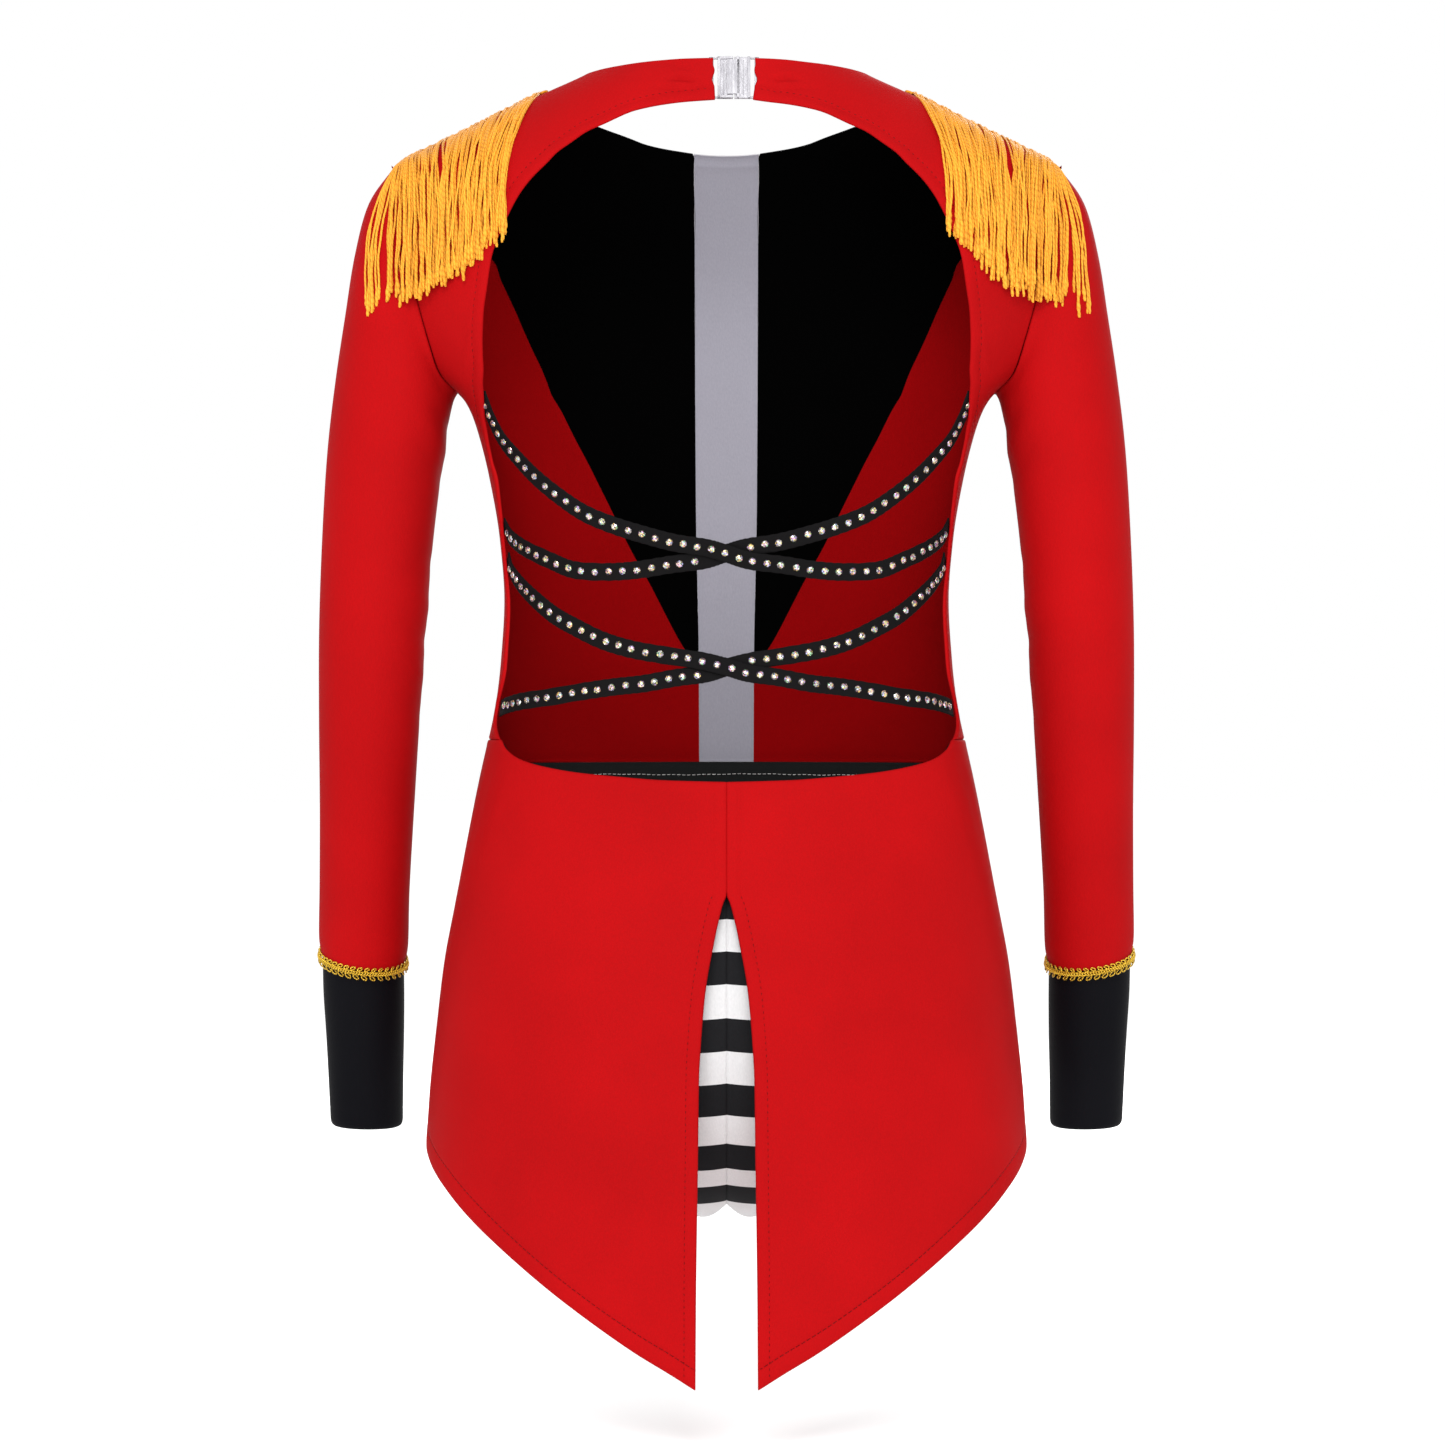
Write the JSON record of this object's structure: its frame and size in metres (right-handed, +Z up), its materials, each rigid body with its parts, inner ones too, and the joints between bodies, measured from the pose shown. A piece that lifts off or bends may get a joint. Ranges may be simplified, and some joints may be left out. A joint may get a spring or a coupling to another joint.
{
  "type": "ringmaster dance leotard with coat tails",
  "caption": "Hollow worn form of a long-sleeved leotard with an open back crossed by straps, fringed shoulders, cuffs, a neck clasp and two pointed coat tails over a striped brief.",
  "frame": {"origin": "midway between the shoulders, at the height of the shoulder line, where the wearer holds it up", "axes": "+Z up, +X to the wearer's right, +Y the way the wearer looks, so the open back faces -Y"},
  "size_m": [0.4138, 0.2035, 0.6455],
  "materials": {
    "red_cloth": "smooth stretch knit with a soft sheen",
    "black_cloth": "matt stretch knit",
    "white_cloth": "matt stretch knit",
    "striped_cloth": "black and white striped stretch knit",
    "cuff_cloth": "black stretch knit with a soft sheen",
    "band": "black waist elastic with a white stitch line",
    "webbing": "black elastic set with faceted stones",
    "gold_braid": "metallic gimp braid",
    "gold_fringe": "twisted rayon fringe",
    "clear_plastic": "clear moulded plastic"
  },
  "bodies": {
    "root": {"back_side_left": "red_cloth", "back_side_right": "red_cloth", "brief_back_left": "striped_cloth", "brief_back_right": "striped_cloth", "brief_front": "striped_cloth", "clasp_hook": "clear_plastic", "clasp_loop": "clear_plastic", "cuff_braid_left": "gold_braid", "cuff_braid_right": "gold_braid", "cuff_left": "cuff_cloth", "cuff_right": "cuff_cloth", "fringe_left": "gold_fringe", "fringe_right": "gold_fringe", "front_centre": "white_cloth", "front_side_left": "red_cloth", "front_side_right": "red_cloth", "front_vee_left": "black_cloth", "front_vee_right": "black_cloth", "sleeve_left": "red_cloth", "sleeve_right": "red_cloth", "strap_high_left": "webbing", "strap_high_right": "webbing", "strap_low_left": "webbing", "strap_low_right": "webbing", "tail_left": "red_cloth", "tail_right": "red_cloth", "waist_band": "band"}
  },
  "joints": []
}
